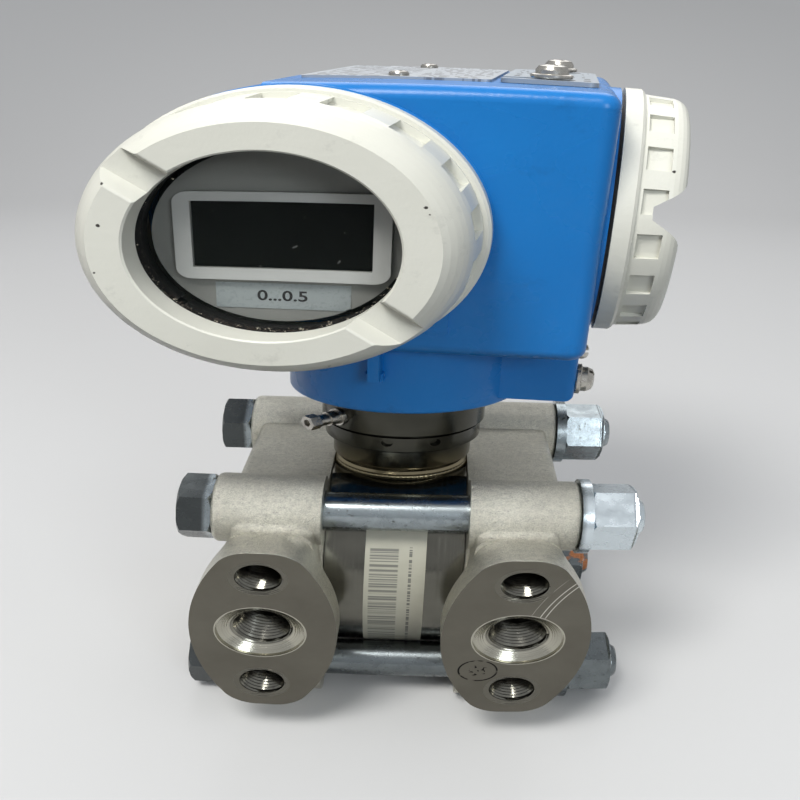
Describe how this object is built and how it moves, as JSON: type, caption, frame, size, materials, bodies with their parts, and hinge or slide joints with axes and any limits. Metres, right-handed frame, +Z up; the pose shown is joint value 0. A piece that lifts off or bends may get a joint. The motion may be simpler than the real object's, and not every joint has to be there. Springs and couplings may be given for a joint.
{
  "type": "differential pressure transmitter",
  "caption": "Differential pressure transmitter: two bolted process flanges round a measuring cell, a neck, and a swivelling housing with a screwed window cover.",
  "frame": {"origin": "midway between the two process ports, on the plane of their faces", "axes": "+Z up along the neck, -Y out of the ports towards the manifold, +X from the left flange to the right"},
  "size_m": [0.1159, 0.1415, 0.2078],
  "materials": {
    "housing_blue": "glossy powder coat",
    "cover_white": "satin powder coat",
    "flange_steel": "blasted casting with machined faces",
    "cell_steel": "machined",
    "bolt_zinc": "zinc plated",
    "screw_steel": "satin",
    "plate_steel": "satin",
    "seal_black": "matte",
    "glass": "clear",
    "module_grey": "moulded",
    "lcd_dark": "glossy",
    "range_label": "printed",
    "label_white": "printed",
    "board_green": "solder mask",
    "potting_black": "moulded",
    "key_black": "moulded",
    "gland_black": "moulded"
  },
  "bodies": {
    "sensor": {"flange_right": "flange_steel", "flange_left": "flange_steel", "flange_seal_right": "seal_black", "flange_seal_left": "seal_black", "flange_bolts": "bolt_zinc", "flange_washers": "bolt_zinc", "flange_nuts": "bolt_zinc", "rear_plug_right": "screw_steel", "rear_plug_left": "screw_steel", "cell_body": "cell_steel", "diaphragm_right": "cell_steel", "diaphragm_left": "cell_steel", "cell_label": "label_white", "neck": "cell_steel", "neck_seal": "seal_black", "circlip": "screw_steel", "lock_screw": "screw_steel", "pressure_sensor": "screw_steel", "feed_tube": "potting_black"},
    "housing": {"housing": "housing_blue", "name_plate": "plate_steel", "name_screws": "screw_steel", "flap_washers": "screw_steel", "flap_screws": "screw_steel", "ground_screw": "screw_steel", "claw_screw": "screw_steel", "display_module": "module_grey", "lcd_panel": "lcd_dark", "range_plate": "range_label", "display_board": "board_green", "electronics": "potting_black", "electronics_screws": "screw_steel", "terminal_block": "potting_black", "terminal_screws": "screw_steel", "inner_ground_screw": "screw_steel", "gland_body": "gland_black", "gland_seal": "seal_black", "gland_nut": "gland_black", "blanking_plug": "screw_steel", "vent_filter": "gland_black"},
    "display_seal": {"display_cover_seal": "seal_black"},
    "display_cover": {"display_cover": "cover_white", "window_gasket": "seal_black", "window_glass": "glass", "window_retainer": "seal_black"},
    "terminal_seal": {"terminal_cover_seal": "seal_black"},
    "terminal_cover": {"terminal_cover": "cover_white"},
    "key_flap": {"key_flap": "plate_steel"},
    "key_zero": {"key_zero": "key_black"},
    "key_span": {"key_span": "key_black"},
    "key_enter": {"key_enter": "key_black"}
  },
  "joints": [
    {"name": "housing_swivel", "type": "hinge", "parent": "sensor", "child": "housing", "pos_m": [0, 0.055, 0.07], "axis": [0, 0, 1], "range_deg": [-175, 175]},
    {"name": "display_cover_travel", "type": "slide", "parent": "housing", "child": "display_seal", "axis": [-0.1021, -0.9948, 0], "range_m": [0, 0.008]},
    {"name": "display_cover_turn", "type": "hinge", "parent": "display_seal", "child": "display_cover", "pos_m": [-0.02187, 0.02216, 0.1228], "axis": [-0.1021, -0.9948, 0], "range_deg": [0, 1440]},
    {"name": "terminal_cover_travel", "type": "slide", "parent": "housing", "child": "terminal_seal", "axis": [0.9948, -0.1021, 0], "range_m": [0, 0.008]},
    {"name": "terminal_cover_turn", "type": "hinge", "parent": "terminal_seal", "child": "terminal_cover", "pos_m": [0.04067, 0.05847, 0.1228], "axis": [0.9948, -0.1021, 0], "range_deg": [0, 1440]},
    {"name": "key_flap_swing", "type": "hinge", "parent": "housing", "child": "key_flap", "pos_m": [0.0305, 0.0956, 0.1609], "axis": [0, 0, 1], "range_deg": [0, 115]},
    {"name": "key_zero_press", "type": "slide", "parent": "housing", "child": "key_zero", "axis": [0, 0, -1], "range_m": [0, 0.0008], "stiffness_N_per_m": 1500, "springref_m": -0.0004},
    {"name": "key_span_press", "type": "slide", "parent": "housing", "child": "key_span", "axis": [0, 0, -1], "range_m": [0, 0.0008], "stiffness_N_per_m": 1500, "springref_m": -0.0004},
    {"name": "key_enter_press", "type": "slide", "parent": "housing", "child": "key_enter", "axis": [0, 0, -1], "range_m": [0, 0.0008], "stiffness_N_per_m": 1500, "springref_m": -0.0004}
  ],
  "couplings": [
    {"joint": "display_cover_travel", "follows": "display_cover_turn", "m_per_rad": 0.00031831},
    {"joint": "terminal_cover_travel", "follows": "terminal_cover_turn", "m_per_rad": 0.00031831}
  ]
}
